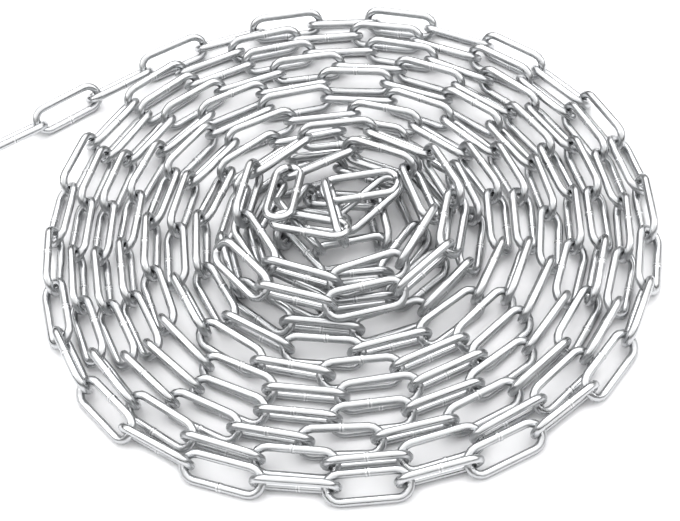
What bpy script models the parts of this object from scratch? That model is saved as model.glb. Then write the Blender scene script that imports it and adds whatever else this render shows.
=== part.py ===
"""A heap of steel chain: one length of long-link welded chain laid down as a flat
spiral coil, with a tail at the outside and its other end on top of the middle."""
import math
import random

import bmesh
import bpy
from mathutils import Matrix, Vector

MM = 0.001

# The chain: wire thickness, length inside a link, width over its sides, number of links
WIRE_DIAMETER = 3.5 * MM
INNER_LENGTH = 28.0 * MM
OUTER_WIDTH = 14.0 * MM
LINK_COUNT = 214

# The coil: outermost turn, room a turn takes, where it starts and how far in it goes
COIL_RADIUS = 128.0 * MM
TURN_WIDTH = 8.97 * MM
START_ANGLE = 90.0
INNER_RADIUS = 15.0 * MM

# How far the outermost turn stands out from that circle, every 45 degrees from +X
OUTLINE = [0.0 * MM, 0.0 * MM, 1.5 * MM, 6.0 * MM, 0.5 * MM, 5.5 * MM, 2.0 * MM, 2.5 * MM]

# The tail on the floor, from its far end to the coil, as x and y in millimetres
TAIL_ROUTE = [(-287.3, 48), (-254, 48), (-226, 48), (-192, 54), (-156, 66), (-127, 82), (-103, 97),
              (-80, 110), (-55, 122), (-29, 128)]
TAIL_LINKS = 10
FLOOR_LINKS = 189

# Then some links lie in a pile in the middle. Of each: which way it heads and how far it is turned from
# flat, in degrees, and how high its line is at its start and at its end, in millimetres
PILE = [(-171.9, -27.0, 4.4, 4.8), (119.5, 67.2, 12.5, 13.3), (-24.6, -6.7, 6.5, 10.8),
        (33.7, 0.2, 10.5, 17.4), (-174.9, -11.5, 18.7, 18.9), (-82.5, -73.5, 21.2, 19.3),
        (158.4, 13.9, 23.7, 22.7), (77.1, -2.9, 25.6, 22.6)]

# The rest goes round on top of the inner turns: over which point of the middle it comes, in millimetres,
# where and how far out its first turn starts, and how high it lies
UPPER_LEAD = (-13.5, 33.2)
UPPER_START_ANGLE = 152.7
UPPER_START_RADIUS = 31.0 * MM
UPPER_END_RADIUS = 64.0 * MM
LAYER_HEIGHT = 14.0 * MM

# Each wire is a six-sided tube, slightly over size so that it keeps the wire's section
TUBE_RADIUS = 1.86 * MM
MITRE = math.radians(22.5)

# Links lie turned this far from flat, one way and the other in turn. At the facet roll a flat of the tube
# lies on the floor. Two links at a sharp bend lie flatter
FACET_ROLL = math.degrees(math.atan(2.0 * math.sin(math.radians(60.0)) / math.cos(MITRE)))
ROLLS = (72.0, 45.0)
ROLL_SPREAD = 1.5
TAIL_ROLLS = (FACET_ROLL, 36.0)
SINGLE_ROLLS = (72.0, 40.0)
FLATTER_LINKS = {187: 21.5, 188: 65.5}
SEED = 7
SPIRAL_STEP = 3.0

# Links that bear on each other overlap by this much, and two solids stay this far apart. A bend takes up
# some length too, and so does the dip of a bow that bears beside its middle. Two sharp joints are drawn
# closer
OVERLAP = 0.28 * MM
GAP = 0.95 * MM
MOST_SLACK = 1.0 * MM
MOST_BEND = math.radians(60.0)
BOW_DIP = 0.1 * MM
SHARP_JOINTS = {183: 0.2 * MM, 188: 0.09 * MM}

# Links that are solids of their own, the run that holds the pile, and the most links of any other run
SINGLE_LINKS = [0, 1, 2, 3, 10, 11, 17, 18, 24, 25, 31, 32]
PILE_RUN = (188, 199)
RUN_LENGTH = 5


def outline_factor(angle):
    """The coil's slightly uneven outline, as a share of its radius."""
    step = 360.0 / len(OUTLINE)
    place = (angle % 360.0) / step
    low = int(place) % len(OUTLINE)
    share = (1.0 - math.cos(math.pi * (place - int(place)))) / 2.0
    stand_out = OUTLINE[low] * (1.0 - share) + OUTLINE[(low + 1) % len(OUTLINE)] * share
    return 1.0 + stand_out / COIL_RADIUS


def smooth_route(points, steps=24):
    """A Catmull-Rom curve through the points."""
    ends = [points[0] * 2 - points[1]] + points + [points[-1] * 2 - points[-2]]
    route = []
    for a, b, c, d in zip(ends, ends[1:], ends[2:], ends[3:]):
        for i in range(steps):
            t = i / steps
            route.append(0.5 * (2 * b + (c - a) * t + (2 * a - 5 * b + 4 * c - d) * t * t
                                + (3 * b - a - 3 * c + d) * t ** 3))
    route.append(points[-1])
    return route


def chain_route():
    """The chain's line along the floor: the tail and then the spiral."""
    tail = [Vector((x * MM, y * MM, 0.0)) for x, y in TAIL_ROUTE]
    spiral = []
    angle = START_ANGLE
    radius = COIL_RADIUS
    while radius > INNER_RADIUS:
        out = radius * outline_factor(angle)
        spiral.append(Vector((out * math.cos(math.radians(angle)), out * math.sin(math.radians(angle)), 0.0)))
        angle -= SPIRAL_STEP
        radius -= (TURN_WIDTH + INNER_LENGTH ** 2 / (8.0 * radius)) * SPIRAL_STEP / 360.0
    return smooth_route(tail + spiral[:2])[:-1] + spiral[1:]


def rest_height(roll):
    """How high a link's middle lies when the link is turned this far from flat."""
    lean = math.radians(abs(roll))
    corner = TUBE_RADIUS * math.cos(MITRE) * math.sin(lean)
    next_corner = corner / 2.0 + TUBE_RADIUS * math.sin(math.radians(60.0)) * math.cos(lean)
    half_width = (OUTER_WIDTH - WIRE_DIAMETER) / 2.0
    return half_width * math.sin(lean) + max(corner, next_corner)


def point_at_distance(route, start, index, distance):
    """The next point of the route this far from start, and its place in the list."""
    while index < len(route) - 1 and (route[index] - start).length < distance:
        index += 1
    a = route[index - 1]
    b = route[index]
    low, high = 0.0, 1.0
    for _ in range(40):
        middle = (low + high) / 2.0
        if (a.lerp(b, middle) - start).length < distance:
            low = middle
        else:
            high = middle
    return a.lerp(b, high), index


def even_runs(stretch):
    """A stretch of links cut into nearly equal runs."""
    count = math.ceil(len(stretch) / RUN_LENGTH)
    cuts = [round(len(stretch) * i / max(count, 1)) for i in range(count + 1)]
    return [stretch[a:b] for a, b in zip(cuts, cuts[1:])]


def link_groups():
    """The links of each solid, in order along the chain."""
    first, last = PILE_RUN
    groups = []
    stretch = []
    for number in range(first):
        if number in SINGLE_LINKS:
            groups += even_runs(stretch) + [[number]]
            stretch = []
        else:
            stretch.append(number)
    groups += even_runs(stretch) + [list(range(first, last + 1))]
    return groups + even_runs(list(range(last + 1, LINK_COUNT)))


def upper_route(start):
    """The chain's line on top of the inner turns, from the pile outwards."""
    lead = [start, Vector((UPPER_LEAD[0] * MM, UPPER_LEAD[1] * MM, 0.0))]
    turns = []
    angle = UPPER_START_ANGLE
    radius = UPPER_START_RADIUS
    while radius < UPPER_END_RADIUS:
        turn = math.radians(angle)
        turns.append(Vector((radius * math.cos(turn), radius * math.sin(turn), 0.0)))
        angle -= SPIRAL_STEP
        radius += (TURN_WIDTH + INNER_LENGTH ** 2 / (8.0 * radius)) * SPIRAL_STEP / 360.0
    return smooth_route(lead + turns[:2])[:-1] + turns[1:]


def walk_route(route, reaches):
    """Where each link's line starts and ends along a level route."""
    lines = []
    here = route[0]
    index = 1
    for back, ahead in reaches:
        there, index = point_at_distance(route, here, index, back + ahead)
        lines.append((here, there))
        here = there
    return lines


def walk_lines(reaches):
    """Where each link's line starts and ends, walked from the tail's far end."""
    upper = FLOOR_LINKS + len(PILE)
    lines = walk_route(chain_route(), reaches[:FLOOR_LINKS])
    here = lines[-1][1]
    for (back, ahead), (heading, _, start, end) in zip(reaches[FLOOR_LINKS:upper], PILE):
        level = math.sqrt((back + ahead) ** 2 - ((end - start) * MM) ** 2)
        turn = math.radians(heading)
        there = Vector((here.x + level * math.cos(turn), here.y + level * math.sin(turn), end * MM))
        lines.append((Vector((here.x, here.y, start * MM)), there))
        here = there
    return lines + walk_route(upper_route(Vector((here.x, here.y, 0.0))), reaches[upper:])


def link_reaches(groups, bends):
    """How far each link's middle is from its two ends' joints: less at a bend and at a gap."""
    first = {group[0] for group in groups}
    last = {group[-1] for group in groups}
    reaches = []
    for number in range(LINK_COUNT):
        ends = []
        for joint, parted in ((number, number in first), (number + 1, number in last)):
            slack = min(WIRE_DIAMETER / 2.0 * (1.0 / math.cos(bends[joint] / 2.0) - 1.0), MOST_SLACK)
            slack += GAP / 2.0 / math.cos(min(bends[joint], MOST_BEND)) if parted else -OVERLAP
            slack -= SHARP_JOINTS.get(joint, 0.0)
            ends.append(INNER_LENGTH / 2.0 - slack - BOW_DIP)
        reaches.append(ends)
    return reaches


def joint_bends(lines):
    """The angle between the two links at each joint."""
    ways = [end - start for start, end in lines]
    return [0.0] + [a.angle(b) for a, b in zip(ways, ways[1:])] + [0.0]


def link_roll(number, spread):
    """How far a link is turned from flat about its length: one way and the other in turn."""
    if 0 <= number - FLOOR_LINKS < len(PILE):
        return PILE[number - FLOOR_LINKS][1]
    roll = ROLLS[number % 2] + spread
    if number < TAIL_LINKS:
        roll = TAIL_ROLLS[number % 2]
    elif number in SINGLE_LINKS:
        roll = SINGLE_ROLLS[number % 2]
    elif number in FLATTER_LINKS:
        roll = FLATTER_LINKS[number]
    return roll if number % 2 == 0 else -roll


def lift(number, roll):
    """How far a link's middle is raised from its line to lie on the floor or on the inner turns."""
    if number < FLOOR_LINKS:
        return rest_height(roll)
    if number < FLOOR_LINKS + len(PILE):
        return 0.0
    return LAYER_HEIGHT + rest_height(roll)


def place_links(groups):
    """Each link's placement, walked along the route from the tail's far end."""
    spreads = random.Random(SEED)
    bends = [0.0] * (LINK_COUNT + 1)
    for _ in range(4):
        reaches = link_reaches(groups, bends)
        lines = walk_lines(reaches)
        bends = joint_bends(lines)
    placements = []
    for number, (start, end) in enumerate(lines):
        along = (end - start).normalized()
        across = Vector((0.0, 0.0, 1.0)).cross(along).normalized()
        upward = along.cross(across)
        roll = link_roll(number, spreads.uniform(-ROLL_SPREAD, ROLL_SPREAD))
        turn = Matrix((along, across, upward)).transposed() @ Matrix.Rotation(math.radians(roll), 3, 'X')
        placement = turn.to_4x4()
        placement.translation = start + along * reaches[number][0] + Vector((0.0, 0.0, lift(number, roll)))
        placements.append(placement)
    return placements


def link_mesh():
    """One link as a closed six-sided tube, lying flat along X."""
    middle = (OUTER_WIDTH - WIRE_DIAMETER) / 2.0
    reach = (INNER_LENGTH + WIRE_DIAMETER) / 2.0
    corner = middle * math.tan(MITRE)
    shoulder = reach - middle + corner
    outline = [(reach, corner), (shoulder, middle), (-shoulder, middle), (-reach, corner)]
    outline += [(x, -y) for x, y in reversed(outline)]
    curve = bpy.data.curves.new("link_wire", 'CURVE')
    curve.dimensions = '3D'
    curve.bevel_depth = TUBE_RADIUS
    curve.bevel_resolution = 1
    spline = curve.splines.new('POLY')
    spline.points.add(len(outline) - 1)
    for point, (x, y) in zip(spline.points, outline):
        point.co = (x, y, 0.0, 1.0)
    spline.use_cyclic_u = True
    wire = bpy.data.objects.new("link_wire", curve)
    bpy.context.scene.collection.objects.link(wire)
    evaluated = wire.evaluated_get(bpy.context.evaluated_depsgraph_get())
    mesh = bpy.data.meshes.new_from_object(evaluated)
    bpy.data.objects.remove(wire)
    work = bmesh.new()
    work.from_mesh(mesh)
    bmesh.ops.remove_doubles(work, verts=work.verts, dist=0.0001 * MM)
    bmesh.ops.recalc_face_normals(work, faces=work.faces)
    work.to_mesh(mesh)
    work.free()
    return mesh


def steel_material():
    """Bright zinc-plated steel."""
    material = bpy.data.materials.new("bright_zinc_plated_steel")
    material.use_nodes = True
    surface = material.node_tree.nodes["Principled BSDF"]
    surface.inputs["Base Color"].default_value = (0.62, 0.63, 0.64, 1.0)
    surface.inputs["Metallic"].default_value = 1.0
    surface.inputs["Roughness"].default_value = 0.28
    return material


def move_to_origin(placements, mesh):
    """Put the origin under the middle of the whole heap, on the floor."""
    corners = [placement @ vertex.co for placement in placements for vertex in mesh.vertices]
    low = Vector([min(corner[axis] for corner in corners) for axis in range(3)])
    high = Vector([max(corner[axis] for corner in corners) for axis in range(3)])
    for placement in placements:
        placement.translation -= Vector(((low.x + high.x) / 2.0, (low.y + high.y) / 2.0, low.z))


def group_name(group):
    """A single link or a run of links, numbered from the tail's far end."""
    if group[0] == 0:
        return "tail_end_link"
    if len(group) == 1:
        return "link_%03d" % (group[0] + 1)
    return "links_%03d_to_%03d" % (group[0] + 1, group[-1] + 1)


def build_group(group, placements, mesh, collection):
    """One solid: its links joined where they bear on each other."""
    solid = bpy.data.objects.new(group_name(group), mesh.copy())
    solid.matrix_world = placements[group[0]]
    collection.objects.link(solid)
    for number in group[1:]:
        link = bpy.data.objects.new("next_link", mesh)
        link.matrix_world = placements[number]
        collection.objects.link(link)
        join = solid.modifiers.new("join", 'BOOLEAN')
        join.operation = 'UNION'
        join.solver = 'EXACT'
        join.object = link
        depsgraph = bpy.context.evaluated_depsgraph_get()
        joined = bpy.data.meshes.new_from_object(solid.evaluated_get(depsgraph))
        solid.modifiers.clear()
        solid.data = joined
        bpy.data.objects.remove(link)
    solid.data.shade_smooth()
    solid.data.set_sharp_from_angle(angle=math.radians(50.0))
    return solid


def build():
    """The whole heap."""
    for item in list(bpy.data.objects):
        bpy.data.objects.remove(item)
    collection = bpy.data.collections.new("steel_chain_heap")
    bpy.context.scene.collection.children.link(collection)
    groups = link_groups()
    placements = place_links(groups)
    mesh = link_mesh()
    mesh.materials.append(steel_material())
    move_to_origin(placements, mesh)
    for group in groups:
        build_group(group, placements, mesh, collection)


build()
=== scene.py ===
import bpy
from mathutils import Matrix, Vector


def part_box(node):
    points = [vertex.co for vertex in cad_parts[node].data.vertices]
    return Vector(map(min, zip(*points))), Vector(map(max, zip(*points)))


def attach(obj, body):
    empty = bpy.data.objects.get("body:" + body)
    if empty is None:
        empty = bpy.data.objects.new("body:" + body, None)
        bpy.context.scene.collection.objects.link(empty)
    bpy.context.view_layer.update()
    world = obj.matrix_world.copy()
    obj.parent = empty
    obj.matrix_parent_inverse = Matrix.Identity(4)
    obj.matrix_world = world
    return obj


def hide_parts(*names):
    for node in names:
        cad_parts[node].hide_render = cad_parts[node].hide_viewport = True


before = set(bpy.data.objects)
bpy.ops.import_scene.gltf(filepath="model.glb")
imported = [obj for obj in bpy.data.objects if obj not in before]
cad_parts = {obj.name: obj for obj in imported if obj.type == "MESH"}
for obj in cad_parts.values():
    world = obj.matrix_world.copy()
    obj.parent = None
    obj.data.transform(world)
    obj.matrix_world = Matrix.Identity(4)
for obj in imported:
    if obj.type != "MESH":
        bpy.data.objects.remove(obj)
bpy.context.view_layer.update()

import math
import random

import bpy
from mathutils import Matrix, Vector

mm = 0.001
scene = bpy.context.scene

# Heap of steel chain: 6 m of long-link welded chain, coiled flat, with its tail running out to the left and
# its other end laid round on top of the middle. The links' places follow the solids' own rule and values.
chain = {"linkCount": 214, "wireDiameter": 3.5 * mm, "insideLength": 28.0 * mm, "outsideWidth": 14.0 * mm,
         "profileSides": 10, "profileRadius": 1.74 * mm, "bendSteps": 4, "bendShare": 0.499}

# The weld: a burr of two ridges with a groove between them. It is not quite in the middle of a link's side,
# and not quite straight across it. The clearance is the room for the ridges between the links and the floor.
# Two of these values set how wide the groove's painted shade is and how strongly the ridges get a painted
# highlight
weld = {"beadLength": 2.8 * mm, "rings": 11, "ridgeHeight": 0.16 * mm, "ridgeWidth": 0.4 * mm,
        "grooveWidth": 0.9 * mm, "grooveShadeShare": 0.4, "burrHighlightShare": 0.9, "endShare": 0.95, "endInset": 0.06,
        "shift": 1.2 * mm, "tilt": 16.0, "clearance": 0.24 * mm, "seed": 11}

# The outline is how far the outer turn stands out of a circle, in millimetres, at each eighth of a turn
coil = {"radius": 128.0 * mm, "turnWidth": 8.97 * mm, "startAngle": 90.0, "innerRadius": 15.0 * mm,
        "outline": [0.0, 0.0, 1.5, 6.0, 0.5, 5.5, 2.0, 2.5], "angleStep": 3.0}

# The tail's line from its far end to the coil, in millimetres from the coil's middle. The first roll is the
# one at which the solids, whose wire has six sides, lie on one of its flats.
tail = {"route": [(-287.3, 48), (-254, 48), (-226, 48), (-192, 54), (-156, 66), (-127, 82), (-103, 97),
                  (-80, 110), (-55, 122), (-29, 128)], "links": 10, "rolls": (61.927, 36.0)}

# Of each link in the pile: its heading and its roll in degrees, and the height of its line at its start and
# at its end in millimetres
pile = {"start": 189,
        "links": [(-171.9, -27.0, 4.4, 4.8), (119.5, 67.2, 12.5, 13.3), (-24.6, -6.7, 6.5, 10.8),
                  (33.7, 0.2, 10.5, 17.4), (-174.9, -11.5, 18.7, 18.9), (-82.5, -73.5, 21.2, 19.3),
                  (158.4, 13.9, 23.7, 22.7), (77.1, -2.9, 25.6, 22.6)]}
upper = {"start": pile["start"] + len(pile["links"]), "lead": (-13.5, 33.2), "angle": 152.7,
         "radius": 31.0 * mm, "endRadius": 64.0 * mm, "height": 13.6 * mm}

# How the links lie. Every second one is turned far up and the next less, each with a small spread. Links that
# share a solid overlap, and there is a gap between one solid and the next. Links and joints count from 0.
lay = {"rolls": (72.0, 45.0), "spread": 1.5, "seed": 7, "flatter": {187: 21.5, 188: 65.5},
       "singleRolls": (72.0, 40.0), "overlap": 0.28 * mm, "gap": 0.95 * mm, "mostSlack": 1.0 * mm,
       "mostBend": math.radians(60.0), "bowDip": 0.1 * mm, "sharpJoints": {183: 0.2 * mm, 188: 0.09 * mm},
       "singles": [0, 1, 2, 3, 10, 11, 17, 18, 24, 25, 31, 32], "pileRun": (188, 199), "runLength": 5,
       "rounds": 4, "halvings": 40}


# How far out the coil is at an angle, as a share of a circle's radius
def outlineFactor(angle):
    outline = coil["outline"]
    place = (angle % 360.0) / (360.0 / len(outline))
    low = int(place) % len(outline)
    share = (1.0 - math.cos(math.pi * (place - int(place)))) / 2.0
    standOut = outline[low] * (1.0 - share) + outline[(low + 1) % len(outline)] * share
    return 1.0 + standOut * mm / coil["radius"]


# How much nearer or farther a spiral's line gets over one angle step: a turn's width, and the room that
# straight links need inside a round turn
def spiralStep(radius):
    room = coil["turnWidth"] + chain["insideLength"] ** 2 / (8.0 * radius)
    return room * coil["angleStep"] / 360.0


def onCircle(radius, angle):
    turn = math.radians(angle)
    return Vector((radius * math.cos(turn), radius * math.sin(turn), 0.0))


# A smooth curve through all the points
def smoothRoute(points, steps=24):
    ends = [points[0] * 2 - points[1]] + points + [points[-1] * 2 - points[-2]]
    route = []
    for a, b, c, d in zip(ends, ends[1:], ends[2:], ends[3:]):
        for i in range(steps):
            t = i / steps
            route.append(0.5 * (2 * b + (c - a) * t + (2 * a - 5 * b + 4 * c - d) * t * t
                                + (3 * b - a - 3 * c + d) * t ** 3))
    return route + [points[-1]]


# The line of the tail and of the coil on the floor, from the tail's far end inwards
def chainRoute():
    along = [Vector((x * mm, y * mm, 0.0)) for x, y in tail["route"]]
    spiral = []
    angle = coil["startAngle"]
    radius = coil["radius"]
    while radius > coil["innerRadius"]:
        spiral.append(onCircle(radius * outlineFactor(angle), angle))
        angle -= coil["angleStep"]
        radius -= spiralStep(radius)
    return smoothRoute(along + spiral[:2])[:-1] + spiral[1:]


# The point of a route that lies straight this far from start, beyond the route's point before index
def pointAtDistance(route, start, index, distance):
    while index < len(route) - 1 and (route[index] - start).length < distance:
        index += 1
    a = route[index - 1]
    b = route[index]
    low, high = 0.0, 1.0
    for _ in range(lay["halvings"]):
        middle = (low + high) / 2.0
        if (a.lerp(b, middle) - start).length < distance:
            low = middle
        else:
            high = middle
    return a.lerp(b, high), index


# Cuts a stretch of links into runs of nearly the same length
def evenRuns(stretch):
    count = math.ceil(len(stretch) / lay["runLength"])
    cuts = [round(len(stretch) * i / max(count, 1)) for i in range(count + 1)]
    return [stretch[a:b] for a, b in zip(cuts, cuts[1:])]


# The links of each solid
def linkRuns():
    first, last = lay["pileRun"]
    runs = []
    stretch = []
    for number in range(first):
        if number in lay["singles"]:
            runs += evenRuns(stretch) + [[number]]
            stretch = []
        else:
            stretch.append(number)
    runs += evenRuns(stretch) + [list(range(first, last + 1))]
    return runs + evenRuns(list(range(last + 1, chain["linkCount"])))


# The line of the turns that lie on top of the inner ones, from the pile outwards
def upperRoute(start):
    lead = [start, Vector((upper["lead"][0] * mm, upper["lead"][1] * mm, 0.0))]
    turns = []
    angle = upper["angle"]
    radius = upper["radius"]
    while radius < upper["endRadius"]:
        turns.append(onCircle(radius, angle))
        angle -= coil["angleStep"]
        radius += spiralStep(radius)
    return smoothRoute(lead + turns[:2])[:-1] + turns[1:]


# Each link's own line, from joint to joint along the route
def walkRoute(route, reaches):
    lines = []
    here = route[0]
    index = 1
    for back, ahead in reaches:
        there, index = pointAtDistance(route, here, index, back + ahead)
        lines.append((here, there))
        here = there
    return lines


# The lines of all the links: those on the floor, those in the pile, which go by their own headings, and those
# of the turns on top
def walkLines(route, reaches):
    lines = walkRoute(route, reaches[:pile["start"]])
    here = lines[-1][1]
    for (back, ahead), (heading, _, start, end) in zip(reaches[pile["start"]:], pile["links"]):
        level = math.sqrt((back + ahead) ** 2 - ((end - start) * mm) ** 2)
        turn = math.radians(heading)
        there = Vector((here.x + level * math.cos(turn), here.y + level * math.sin(turn), end * mm))
        lines.append((Vector((here.x, here.y, start * mm)), there))
        here = there
    return lines + walkRoute(upperRoute(Vector((here.x, here.y, 0.0))), reaches[upper["start"]:])


# How far each link's middle is from the joints at its two ends
def linkReaches(runs, bends):
    first = {run[0] for run in runs}
    last = {run[-1] for run in runs}
    reaches = []
    for number in range(chain["linkCount"]):
        ends = []
        for joint, parted in ((number, number in first), (number + 1, number in last)):
            bend = bends[joint]
            slack = min(chain["wireDiameter"] / 2.0 * (1.0 / math.cos(bend / 2.0) - 1.0), lay["mostSlack"])
            if parted:
                slack += lay["gap"] / 2.0 / math.cos(min(bend, lay["mostBend"]))
            else:
                slack -= lay["overlap"]
            slack -= lay["sharpJoints"].get(joint, 0.0)
            ends.append(chain["insideLength"] / 2.0 - slack - lay["bowDip"])
        reaches.append(ends)
    return reaches


# How far a link is turned from flat, one way and the other in turn
def linkRoll(number, spread):
    if pile["start"] <= number < upper["start"]:
        return pile["links"][number - pile["start"]][1]
    roll = lay["rolls"][number % 2] + spread
    if number < tail["links"]:
        roll = tail["rolls"][number % 2]
    elif number in lay["singles"]:
        roll = lay["singleRolls"][number % 2]
    elif number in lay["flatter"]:
        roll = lay["flatter"][number]
    return roll if number % 2 == 0 else -roll


# Where each link's middle is, which way it runs, and which way its width lies
def placeLinks():
    spreads = random.Random(lay["seed"])
    route = chainRoute()
    runs = linkRuns()
    bends = [0.0] * (chain["linkCount"] + 1)
    for _ in range(lay["rounds"]):    # the bends and the reaches depend on each other
        reaches = linkReaches(runs, bends)
        lines = walkLines(route, reaches)
        ways = [end - start for start, end in lines]
        bends = [0.0] + [a.angle(b) for a, b in zip(ways, ways[1:])] + [0.0]
    places = []
    for number, (start, end) in enumerate(lines):
        along = (end - start).normalized()
        level = Vector((0.0, 0.0, 1.0)).cross(along).normalized()
        roll = linkRoll(number, spreads.uniform(-lay["spread"], lay["spread"]))
        side = Matrix.Rotation(math.radians(roll), 3, along) @ level
        middle = start + along * reaches[number][0]
        if number < pile["start"] or number >= upper["start"]:
            lean = math.sin(math.radians(abs(roll)))    # a round wire that just touches the floor
            middle.z += (chain["outsideWidth"] - chain["wireDiameter"]) / 2.0 * lean + chain["profileRadius"]
            middle.z += upper["height"] if number >= upper["start"] else weld["clearance"]
        places.append([middle, along, side])
    low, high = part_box("tail_end_link")    # its middle ties the chain's own axes to the frame's
    shift = (Vector(low) + Vector(high)) / 2.0 - places[0][0]
    shift.z = 0.0
    for place in places:
        place[0] += shift
    return places, shift


def linear(code):
    parts = [int(code[i:i + 2], 16) / 255.0 for i in (1, 3, 5)]
    return [p / 12.92 if p <= 0.04045 else ((p + 0.055) / 1.055) ** 2.4 for p in parts] + [1.0]


# Adds a node; an input's value is a plain value, the output that feeds it, or a node whose first output does
def addNode(tree, kind, settings=None, inputs=None):
    node = tree.nodes.new(kind)
    for name, value in (settings or {}).items():
        setattr(node, name, value)
    for name, value in (inputs or {}).items():
        if isinstance(value, bpy.types.Node):
            value = value.outputs[0]
        if isinstance(value, bpy.types.NodeSocket):
            tree.links.new(value, node.inputs[name])
        else:
            node.inputs[name].default_value = value
    return node


# The groove colour is painted shade in the weld's groove, and the burr colour is a painted highlight on its
# ridges
finish = {"zinc": "#cbcccd", "cloudy": "#b8babc", "paintedGrooveShade": "#5e5f61", "burrHighlight": "#f0f0f1", "roughness": 0.28,
          "lineWidth": 0.6 * mm, "lineLength": 50.0 / 3.0 * mm, "lineDetail": 3.0, "lineRoughness": 0.55,
          "lineDepth": 0.05 * mm, "lineStrength": 0.35, "lineRange": (0.3, 0.7), "lineGloss": (-0.06, 0.1),
          "cloudSize": 7.0 * mm, "cloudDetail": 2.0, "cloudRoughness": 0.5, "cloudRange": (0.35, 0.75),
          "cloudShare": 0.3, "weldRoughness": 0.25, "leastGrooveShade": 0.2, "toneSpread": 37.0}


# Bright zinc plate over drawn steel wire: a soft mirror with fine lines along the wire, which smear what it
# reflects, slightly clouded where the plate is thin. A die's lines are too fine to show, so they are drawn
# 0.6 mm apart and 17 mm long. The weld's attribute is 1 in its groove, which is painted dark as painted
# shade, and less than 0 on its two ridges, which are painted light as a painted highlight.
def brightZincPlate():
    material = bpy.data.materials.new("brightZincPlateOnDrawnWire")
    material.use_nodes = True
    tree = material.node_tree
    tree.nodes.clear()
    wire = addNode(tree, "ShaderNodeAttribute", {"attribute_name": "wireMap"}).outputs["Vector"]
    paintedWeldShadeAndHighlight = addNode(tree, "ShaderNodeAttribute", {"attribute_name": "paintedWeldShadeAndHighlight"}).outputs["Fac"]
    tone = addNode(tree, "ShaderNodeAttribute", {"attribute_name": "linkTone"}).outputs["Fac"]

    # The painted highlight on the weld's ridges, and the painted shade in its groove, which is painted darker
    # on one side of the wire
    below = addNode(tree, "ShaderNodeMath", {"operation": "MULTIPLY"}, {0: paintedWeldShadeAndHighlight, 1: -1.0})
    paintedRidgeHighlight = addNode(tree, "ShaderNodeMath", {"operation": "MAXIMUM"}, {0: below, 1: 0.0})
    above = addNode(tree, "ShaderNodeMath", {"operation": "MAXIMUM"}, {0: paintedWeldShadeAndHighlight, 1: 0.0})
    across = addNode(tree, "ShaderNodeSeparateXYZ", {}, {0: wire}).outputs[1]
    grooveShadeAcross = addNode(tree, "ShaderNodeMapRange", {},
                   {"Value": across, "From Min": -chain["profileRadius"], "From Max": chain["profileRadius"],
                    "To Min": finish["leastGrooveShade"], "To Max": 1.0})
    paintedGrooveShade = addNode(tree, "ShaderNodeMath", {"operation": "MULTIPLY"}, {0: above, 1: grooveShadeAcross})

    # The lines along the wire, which differ from link to link
    lineScale = (1.0 / finish["lineLength"], 1.0 / finish["lineWidth"], 1.0 / finish["lineWidth"])
    alongWire = addNode(tree, "ShaderNodeMapping", {}, {"Vector": wire, "Scale": lineScale})
    own = addNode(tree, "ShaderNodeMath", {"operation": "MULTIPLY"}, {0: tone, 1: finish["toneSpread"]})
    drawn = addNode(tree, "ShaderNodeTexNoise", {"noise_dimensions": "4D"},
                    {"Vector": alongWire, "W": own, "Scale": 1.0, "Detail": finish["lineDetail"],
                     "Roughness": finish["lineRoughness"]}).outputs["Fac"]
    streak = addNode(tree, "ShaderNodeMapRange", {},
                     {"Value": drawn, "From Min": finish["lineRange"][0], "From Max": finish["lineRange"][1],
                      "To Min": finish["lineGloss"][0], "To Max": finish["lineGloss"][1]})
    bump = addNode(tree, "ShaderNodeBump", {}, {"Strength": finish["lineStrength"],
                                                "Distance": finish["lineDepth"], "Height": drawn})

    # The clouds in the plate
    place = addNode(tree, "ShaderNodeTexCoord").outputs["Object"]
    cloud = addNode(tree, "ShaderNodeTexNoise", {},
                    {"Vector": place, "Scale": 1.0 / finish["cloudSize"], "Detail": finish["cloudDetail"],
                     "Roughness": finish["cloudRoughness"]}).outputs["Fac"]
    plate = addNode(tree, "ShaderNodeMapRange", {},
                    {"Value": cloud, "From Min": finish["cloudRange"][0], "From Max": finish["cloudRange"][1],
                     "To Min": 0.0, "To Max": finish["cloudShare"]})

    # The clouds, then the painted shade in the weld's groove and the painted highlight on its ridges, mixed
    # into the zinc's colour
    colour = linear(finish["zinc"])
    for share, shade in ((plate, "cloudy"), (paintedGrooveShade, "paintedGrooveShade"), (paintedRidgeHighlight, "burrHighlight")):
        colour = addNode(tree, "ShaderNodeMix", {"data_type": "RGBA"},
                         {0: share, 6: colour, 7: linear(finish[shade])}).outputs[2]
    welded = addNode(tree, "ShaderNodeMath", {"operation": "ADD"}, {0: paintedGrooveShade, 1: paintedRidgeHighlight})
    duller = addNode(tree, "ShaderNodeMath", {"operation": "MULTIPLY"},
                     {0: welded, 1: finish["weldRoughness"]})
    rough = addNode(tree, "ShaderNodeMath", {"operation": "ADD"}, {0: streak, 1: finish["roughness"]})
    rough = addNode(tree, "ShaderNodeMath", {"operation": "ADD"}, {0: rough, 1: duller})
    surface = addNode(tree, "ShaderNodeBsdfPrincipled", {},
                      {"Base Color": colour, "Metallic": 1.0, "Roughness": rough, "Normal": bump})
    addNode(tree, "ShaderNodeOutputMaterial", {}, {"Surface": surface})
    return material


# How far a ridge or groove comes up at a distance from its middle: 1 there, falling off like a bell
def bell(tree, distance, width):
    level = addNode(tree, "ShaderNodeMath", {"operation": "DIVIDE"}, {0: distance, 1: width})
    for operation, value in (("ABSOLUTE", 0.0), ("POWER", 2.0), ("MULTIPLY", -1.0), ("EXPONENT", 0.0)):
        level = addNode(tree, "ShaderNodeMath", {"operation": operation}, {0: level, 1: value})
    return level


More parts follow.
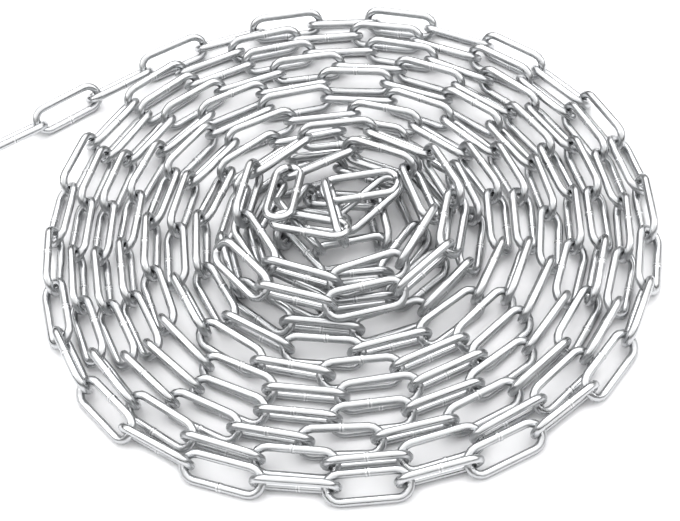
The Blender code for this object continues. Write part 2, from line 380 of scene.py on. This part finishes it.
# One link: the wire's round section, turned so that a flat of it faces out at the link's ends, led round an
# oblong with half-round bows. wireMap holds each point's place along the wire and across it.
def bentLink(tree, given, around):
    oblong = addNode(tree, "GeometryNodeCurvePrimitiveQuadrilateral", {},
                     {"Width": given["Link Length"], "Height": given["Link Width"]})
    bowRadius = addNode(tree, "ShaderNodeMath", {"operation": "MULTIPLY"},
                        {0: given["Link Width"], 1: chain["bendShare"]})
    bent = addNode(tree, "GeometryNodeFilletCurve", {"mode": "POLY"},
                   {"Curve": oblong, "Count": given["Bend Steps"], "Radius": bowRadius, "Limit Radius": True})
    length = addNode(tree, "GeometryNodeCaptureAttribute", {}, {"Geometry": bent})
    length.capture_items.new("FLOAT", "Length")
    tree.links.new(addNode(tree, "GeometryNodeSplineParameter").outputs["Length"], length.inputs[1])
    link = addNode(tree, "GeometryNodeCurveToMesh", {}, {"Curve": length, "Profile Curve": around})
    across = addNode(tree, "ShaderNodeSeparateXYZ", {}, {0: around.outputs[1]}).outputs
    wireMap = addNode(tree, "ShaderNodeCombineXYZ", {}, {0: length.outputs[1], 1: across[0], 2: across[1]})
    link = addNode(tree, "GeometryNodeStoreNamedAttribute", {"data_type": "FLOAT_VECTOR"},
                   {"Geometry": link, "Name": "wireMap", "Value": wireMap})
    return addNode(tree, "GeometryNodeStoreNamedAttribute", {"data_type": "FLOAT"},
                   {"Geometry": link, "Name": "paintedWeldShadeAndHighlight", "Value": 0.0})


# The weld: a short closed sleeve round the wire, with two low ridges and a groove between them. Its two ends
# are drawn in, so that they are inside the wire.
def weldSleeve(tree, given, around):
    half = addNode(tree, "ShaderNodeMath", {"operation": "MULTIPLY"}, {0: given["Bead Length"], 1: 0.5})
    back = addNode(tree, "ShaderNodeMath", {"operation": "MULTIPLY"}, {0: half, 1: -1.0})
    start = addNode(tree, "ShaderNodeCombineXYZ", {}, {0: back})
    end = addNode(tree, "ShaderNodeCombineXYZ", {}, {0: half})
    line = addNode(tree, "GeometryNodeCurvePrimitiveLine", {}, {"Start": start, "End": end})
    line = addNode(tree, "GeometryNodeResampleCurve", {}, {"Curve": line, "Count": weld["rings"]})
    position = addNode(tree, "GeometryNodeInputPosition")
    place = addNode(tree, "ShaderNodeSeparateXYZ", {}, {0: position}).outputs[0]
    fromMiddle = addNode(tree, "ShaderNodeMath", {"operation": "ABSOLUTE"}, {0: place})

    halfGroove = addNode(tree, "ShaderNodeMath", {"operation": "MULTIPLY"},
                         {0: given["Groove Width"], 1: 0.5})
    fromRidge = addNode(tree, "ShaderNodeMath", {"operation": "SUBTRACT"}, {0: fromMiddle, 1: halfGroove})
    ridge = bell(tree, fromRidge, given["Ridge Width"])
    height = addNode(tree, "ShaderNodeMath", {"operation": "MULTIPLY"}, {0: ridge, 1: given["Ridge Height"]})
    swell = addNode(tree, "ShaderNodeMath", {"operation": "DIVIDE"}, {0: height, 1: given["Wire Radius"]})
    endFrom = addNode(tree, "ShaderNodeMath", {"operation": "MULTIPLY"}, {0: half, 1: weld["endShare"]})
    isEnd = addNode(tree, "ShaderNodeMath", {"operation": "GREATER_THAN"}, {0: fromMiddle, 1: endFrom})
    inset = addNode(tree, "ShaderNodeMath", {"operation": "MULTIPLY"}, {0: isEnd, 1: -weld["endInset"]})
    swell = addNode(tree, "ShaderNodeMath", {"operation": "ADD"}, {0: swell, 1: inset})
    ringSize = addNode(tree, "ShaderNodeMath", {"operation": "ADD"}, {0: swell, 1: 1.0})

    # The groove's painted shade: a bell of darkening across the weld's middle
    grooveShadeWidth = addNode(tree, "ShaderNodeMath", {"operation": "MULTIPLY"},
                        {0: given["Groove Width"], 1: weld["grooveShadeShare"]})
    paintedGrooveShade = bell(tree, place, grooveShadeWidth)
    # How strongly the ridges are painted light as a painted highlight; the groove's painted shade less this
    # is the weld's attribute
    shade = addNode(tree, "ShaderNodeMath", {"operation": "MULTIPLY"}, {0: ridge, 1: weld["burrHighlightShare"]})
    paintedWeldShadeAndHighlight = addNode(tree, "ShaderNodeMath", {"operation": "SUBTRACT"}, {0: paintedGrooveShade, 1: shade})

    ring = addNode(tree, "GeometryNodeCaptureAttribute", {}, {"Geometry": line})
    captured = {"Weld Mark": paintedWeldShadeAndHighlight.outputs[0], "Ring Size": ringSize.outputs[0], "Along": place}
    for index, (label, value) in enumerate(captured.items(), start=1):
        ring.capture_items.new("FLOAT", label)
        tree.links.new(value, ring.inputs[index])
    sleeve = addNode(tree, "GeometryNodeCurveToMesh", {},
                     {"Curve": ring, "Profile Curve": around, "Scale": ring.outputs[2], "Fill Caps": True})
    across = addNode(tree, "ShaderNodeSeparateXYZ", {}, {0: around.outputs[1]}).outputs
    wireMap = addNode(tree, "ShaderNodeCombineXYZ", {}, {0: ring.outputs[3], 1: across[0], 2: across[1]})
    sleeve = addNode(tree, "GeometryNodeStoreNamedAttribute", {"data_type": "FLOAT_VECTOR"},
                     {"Geometry": sleeve, "Name": "wireMap", "Value": wireMap})
    return addNode(tree, "GeometryNodeStoreNamedAttribute", {"data_type": "FLOAT"},
                   {"Geometry": sleeve, "Name": "paintedWeldShadeAndHighlight", "Value": ring.outputs[1]})


# The tree that lays the chain: one link and one weld at every point, each turned as the link lies
def chainTree():
    tree = bpy.data.node_groups.new("layChain", "GeometryNodeTree")
    sockets = {}
    for name, kind in (("Links", "NodeSocketGeometry"), ("Wire Radius", "NodeSocketFloat"),
                       ("Link Length", "NodeSocketFloat"), ("Link Width", "NodeSocketFloat"),
                       ("Profile Sides", "NodeSocketInt"), ("Bend Steps", "NodeSocketInt"),
                       ("Bead Length", "NodeSocketFloat"), ("Ridge Height", "NodeSocketFloat"),
                       ("Ridge Width", "NodeSocketFloat"), ("Groove Width", "NodeSocketFloat"),
                       ("Weld Shift", "NodeSocketFloat"), ("Weld Tilt", "NodeSocketFloat"),
                       ("Seed", "NodeSocketInt"), ("Finish", "NodeSocketMaterial")):
        sockets[name] = tree.interface.new_socket(name=name, in_out="INPUT", socket_type=kind).identifier
    tree.interface.new_socket(name="Chain", in_out="OUTPUT", socket_type="NodeSocketGeometry")
    given = addNode(tree, "NodeGroupInput").outputs

    circle = addNode(tree, "GeometryNodeCurvePrimitiveCircle", {},
                     {"Resolution": given["Profile Sides"], "Radius": given["Wire Radius"]})
    halfStep = addNode(tree, "ShaderNodeMath", {"operation": "DIVIDE"},
                       {0: math.pi, 1: given["Profile Sides"]})
    turnBy = addNode(tree, "ShaderNodeCombineXYZ", {}, {2: halfStep})
    turned = addNode(tree, "FunctionNodeEulerToRotation", {}, {0: turnBy})
    section = addNode(tree, "GeometryNodeTransform", {}, {"Geometry": circle, "Rotation": turned})
    around = addNode(tree, "GeometryNodeCaptureAttribute", {}, {"Geometry": section})
    around.capture_items.new("VECTOR", "Around")
    tree.links.new(addNode(tree, "GeometryNodeInputPosition").outputs[0], around.inputs[1])

    along = addNode(tree, "GeometryNodeInputNamedAttribute", {"data_type": "FLOAT_VECTOR"}, {"Name": "along"})
    side = addNode(tree, "GeometryNodeInputNamedAttribute", {"data_type": "FLOAT_VECTOR"}, {"Name": "side"})
    turn = addNode(tree, "FunctionNodeAxesToRotation", {"primary_axis": "X", "secondary_axis": "Y"},
                   {0: along, 1: side})
    wires = addNode(tree, "GeometryNodeInstanceOnPoints", {},
                    {"Points": given["Links"], "Instance": bentLink(tree, given, around), "Rotation": turn})
    beads = addNode(tree, "GeometryNodeInstanceOnPoints", {},
                    {"Points": given["Links"], "Instance": weldSleeve(tree, given, around), "Rotation": turn})

    # Each weld's shift along its side, which of the two sides it is on, its tilt, and each link's own tone
    chances = []
    for offset, low, high in ((1, -1.0, 1.0), (2, 0.0, 1.0), (3, -1.0, 1.0), (4, 0.0, 1.0)):
        seed = addNode(tree, "ShaderNodeMath", {"operation": "ADD"}, {0: given["Seed"], 1: float(offset)})
        chances.append(addNode(tree, "FunctionNodeRandomValue", {"data_type": "FLOAT"},
                               {2: low, 3: high, "Seed": seed}).outputs[1])
    shiftChance, sideChance, tiltChance, toneChance = chances
    over = addNode(tree, "ShaderNodeMath", {"operation": "GREATER_THAN"}, {0: sideChance, 1: 0.5})
    twice = addNode(tree, "ShaderNodeMath", {"operation": "MULTIPLY"}, {0: over, 1: 2.0})
    whichSide = addNode(tree, "ShaderNodeMath", {"operation": "SUBTRACT"}, {0: twice, 1: 1.0})
    halfWidth = addNode(tree, "ShaderNodeMath", {"operation": "MULTIPLY"}, {0: given["Link Width"], 1: 0.5})
    aside = addNode(tree, "ShaderNodeMath", {"operation": "MULTIPLY"}, {0: halfWidth, 1: whichSide})
    moved = addNode(tree, "ShaderNodeMath", {"operation": "MULTIPLY"},
                    {0: shiftChance, 1: given["Weld Shift"]})
    move = addNode(tree, "ShaderNodeCombineXYZ", {}, {0: moved, 1: aside})
    beads = addNode(tree, "GeometryNodeTranslateInstances", {},
                    {"Instances": beads, "Translation": move, "Local Space": True})
    tilted = addNode(tree, "ShaderNodeMath", {"operation": "MULTIPLY"},
                     {0: tiltChance, 1: given["Weld Tilt"]})
    slant = addNode(tree, "ShaderNodeCombineXYZ", {}, {2: tilted})
    tilt = addNode(tree, "FunctionNodeEulerToRotation", {}, {0: slant})
    beads = addNode(tree, "GeometryNodeRotateInstances", {},
                    {"Instances": beads, "Rotation": tilt, "Local Space": True})

    both = addNode(tree, "GeometryNodeJoinGeometry")
    tree.links.new(beads.outputs[0], both.inputs[0])
    tree.links.new(wires.outputs[0], both.inputs[0])
    toned = addNode(tree, "GeometryNodeStoreNamedAttribute", {"data_type": "FLOAT", "domain": "INSTANCE"},
                    {"Geometry": both, "Name": "linkTone", "Value": toneChance})
    whole = addNode(tree, "GeometryNodeRealizeInstances", {}, {"Geometry": toned})
    smooth = addNode(tree, "GeometryNodeSetShadeSmooth", {}, {"Geometry": whole})
    done = addNode(tree, "GeometryNodeSetMaterial", {}, {"Geometry": smooth, "Material": given["Finish"]})
    addNode(tree, "NodeGroupOutput", {}, {0: done})
    return tree, sockets


# A piece of the chain: its links as points, then as one plain mesh
def makePiece(name, numbers, places, tree, sockets, material):
    mesh = bpy.data.meshes.new(name)
    mesh.from_pydata([places[n][0] for n in numbers], [], [])
    for label, part in (("along", 1), ("side", 2)):
        attribute = mesh.attributes.new(label, "FLOAT_VECTOR", "POINT")
        for spot, n in zip(attribute.data, numbers):
            spot.vector = places[n][part]
    piece = bpy.data.objects.new(name, mesh)
    scene.collection.objects.link(piece)
    modifier = piece.modifiers.new("layChain", "NODES")
    modifier.node_group = tree
    values = {"Wire Radius": chain["profileRadius"],
              "Link Length": chain["insideLength"] + chain["wireDiameter"],
              "Link Width": chain["outsideWidth"] - chain["wireDiameter"],
              "Profile Sides": chain["profileSides"], "Bend Steps": chain["bendSteps"],
              "Bead Length": weld["beadLength"], "Ridge Height": weld["ridgeHeight"],
              "Ridge Width": weld["ridgeWidth"], "Groove Width": weld["grooveWidth"],
              "Weld Shift": weld["shift"], "Weld Tilt": math.radians(weld["tilt"]),
              "Seed": weld["seed"] + numbers[0], "Finish": material}
    for label, value in values.items():
        modifier[sockets[label]] = value
    evaluated = piece.evaluated_get(bpy.context.evaluated_depsgraph_get())
    laid = bpy.data.meshes.new_from_object(evaluated)
    piece.modifiers.remove(modifier)
    piece.data = laid
    laid.name = name
    return piece


places, shift = placeLinks()
material = brightZincPlate()
tree, sockets = chainTree()
pileFirst = lay["pileRun"][0]
pieces = {"chainTail": range(tail["links"]), "coiledChain": range(tail["links"], pileFirst),
          "pileAndUpperTurns": range(pileFirst, chain["linkCount"])}
firstLinks = {}
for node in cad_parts:
    firstLinks[node] = 0 if node == "tail_end_link" else int(node.split("_")[1]) - 1
for name, numbers in pieces.items():
    piece = makePiece(name, list(numbers), places, tree, sockets, material)
    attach(piece, "root")
    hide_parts(*[node for node, first in firstLinks.items() if first in numbers])
    print("laid", name, len(numbers), "links,", len(piece.data.polygons), "faces")


# The pale floor of the photograph, which burns out to white, in a light tent: bright overhead, dark at the
# horizon and a little duller in front, so that every wire gets dark edges and a grey middle
stage = {"floorSize": 60.0, "floor": "#f0f0f1", "paperRoughness": 0.9, "tent": "#ffffff", "overhead": 1.75,
         "horizon": 0.0, "darkUpTo": 0.2, "brightFrom": 0.58, "front": (0.0, -0.75, 0.66), "frontFrom": 0.75,
         "frontDim": 0.75}


def makeFloor():
    mesh = bpy.data.meshes.new("floor")
    half = stage["floorSize"] / 2.0
    corners = [(-half, -half, 0.0), (half, -half, 0.0), (half, half, 0.0), (-half, half, 0.0)]
    mesh.from_pydata(corners, [], [(0, 1, 2, 3)])
    floor = bpy.data.objects.new("floor", mesh)
    scene.collection.objects.link(floor)
    paper = bpy.data.materials.new("whitePaper")
    paper.use_nodes = True
    surface = paper.node_tree.nodes["Principled BSDF"]
    surface.inputs["Base Color"].default_value = linear(stage["floor"])
    surface.inputs["Roughness"].default_value = stage["paperRoughness"]
    mesh.materials.append(paper)


def makeTent():
    world = bpy.data.worlds.new("lightTent")
    world.use_nodes = True
    tree = world.node_tree
    tree.nodes.clear()
    way = addNode(tree, "ShaderNodeTexCoord").outputs["Generated"]
    rise = addNode(tree, "ShaderNodeSeparateXYZ", {}, {0: way}).outputs[2]
    upward = addNode(tree, "ShaderNodeMapRange", {"interpolation_type": "SMOOTHSTEP"},
                     {"Value": rise, "From Min": stage["darkUpTo"], "From Max": stage["brightFrom"],
                      "To Min": stage["horizon"], "To Max": stage["overhead"]})
    facing = addNode(tree, "ShaderNodeVectorMath", {"operation": "DOT_PRODUCT"},
                     {0: way, 1: Vector(stage["front"]).normalized()}).outputs["Value"]
    dim = addNode(tree, "ShaderNodeMapRange", {"interpolation_type": "SMOOTHSTEP"},
                  {"Value": facing, "From Min": stage["frontFrom"], "From Max": 1.0, "To Min": 1.0,
                   "To Max": stage["frontDim"]})
    strength = addNode(tree, "ShaderNodeMath", {"operation": "MULTIPLY"}, {0: upward, 1: dim})
    glow = addNode(tree, "ShaderNodeBackground", {}, {"Color": linear(stage["tent"]), "Strength": strength})
    addNode(tree, "ShaderNodeOutputWorld", {}, {"Surface": glow})
    scene.world = world


# Metres from the coil's middle, and watts
lamps = {"overhead": {"at": (0.0, 0.5, 0.8), "size": 0.8, "power": 3.0},
         "left": {"at": (-0.95, 0.0, 0.5), "size": 0.5, "power": 1.2},
         "right": {"at": (0.95, 0.0, 0.5), "size": 0.5, "power": 1.2}}


def makeLamps(middle):
    for name, lamp in lamps.items():
        light = bpy.data.lights.new(name, "AREA")
        light.shape = "SQUARE"
        light.size = lamp["size"]
        light.energy = lamp["power"]
        holder = bpy.data.objects.new(name, light)
        scene.collection.objects.link(holder)
        holder.location = middle + Vector(lamp["at"])
        holder.rotation_euler = (-Vector(lamp["at"])).to_track_quat("-Z", "Y").to_euler()


# The photograph's viewpoint, a long lens looking down at the coil and held a little turned, and its own hard
# tone curve
view = {"focalPixels": 1645.0, "imageWidth": 680, "sensorWidth": 36.0, "clipStart": 0.01, "elevation": 49.83,
        "roll": -5.4, "distance": 680.6 * mm, "aimFromCoil": (-2.7 * mm, -10.8 * mm),
        "transform": "Standard", "look": "High Contrast", "exposure": -0.45}


def makeCamera(coilMiddle):
    data = bpy.data.cameras.new("camera")
    data.sensor_width = view["sensorWidth"]
    data.lens = view["focalPixels"] * view["sensorWidth"] / view["imageWidth"]
    data.clip_start = view["clipStart"]
    camera = bpy.data.objects.new("camera", data)
    scene.collection.objects.link(camera)
    aim = Vector((coilMiddle.x + view["aimFromCoil"][0], coilMiddle.y + view["aimFromCoil"][1], 0.0))
    rise = math.radians(view["elevation"])
    away = Vector((0.0, -math.cos(rise), math.sin(rise)))
    turn = math.radians(view["roll"])
    right = Vector((1.0, 0.0, 0.0))
    up = away.cross(right)
    across = right * math.cos(turn) + up * math.sin(turn)
    upward = up * math.cos(turn) - right * math.sin(turn)
    matrix = Matrix((across, upward, away)).transposed().to_4x4()
    matrix.translation = aim + away * view["distance"]
    camera.matrix_world = matrix
    scene.camera = camera


coilMiddle = Vector((shift.x, shift.y, 0.0))
makeFloor()
makeTent()
makeLamps(coilMiddle)
makeCamera(coilMiddle)
scene.view_settings.view_transform = view["transform"]
scene.view_settings.look = view["look"]
scene.view_settings.exposure = view["exposure"]
print("floor, lamps and camera are set")
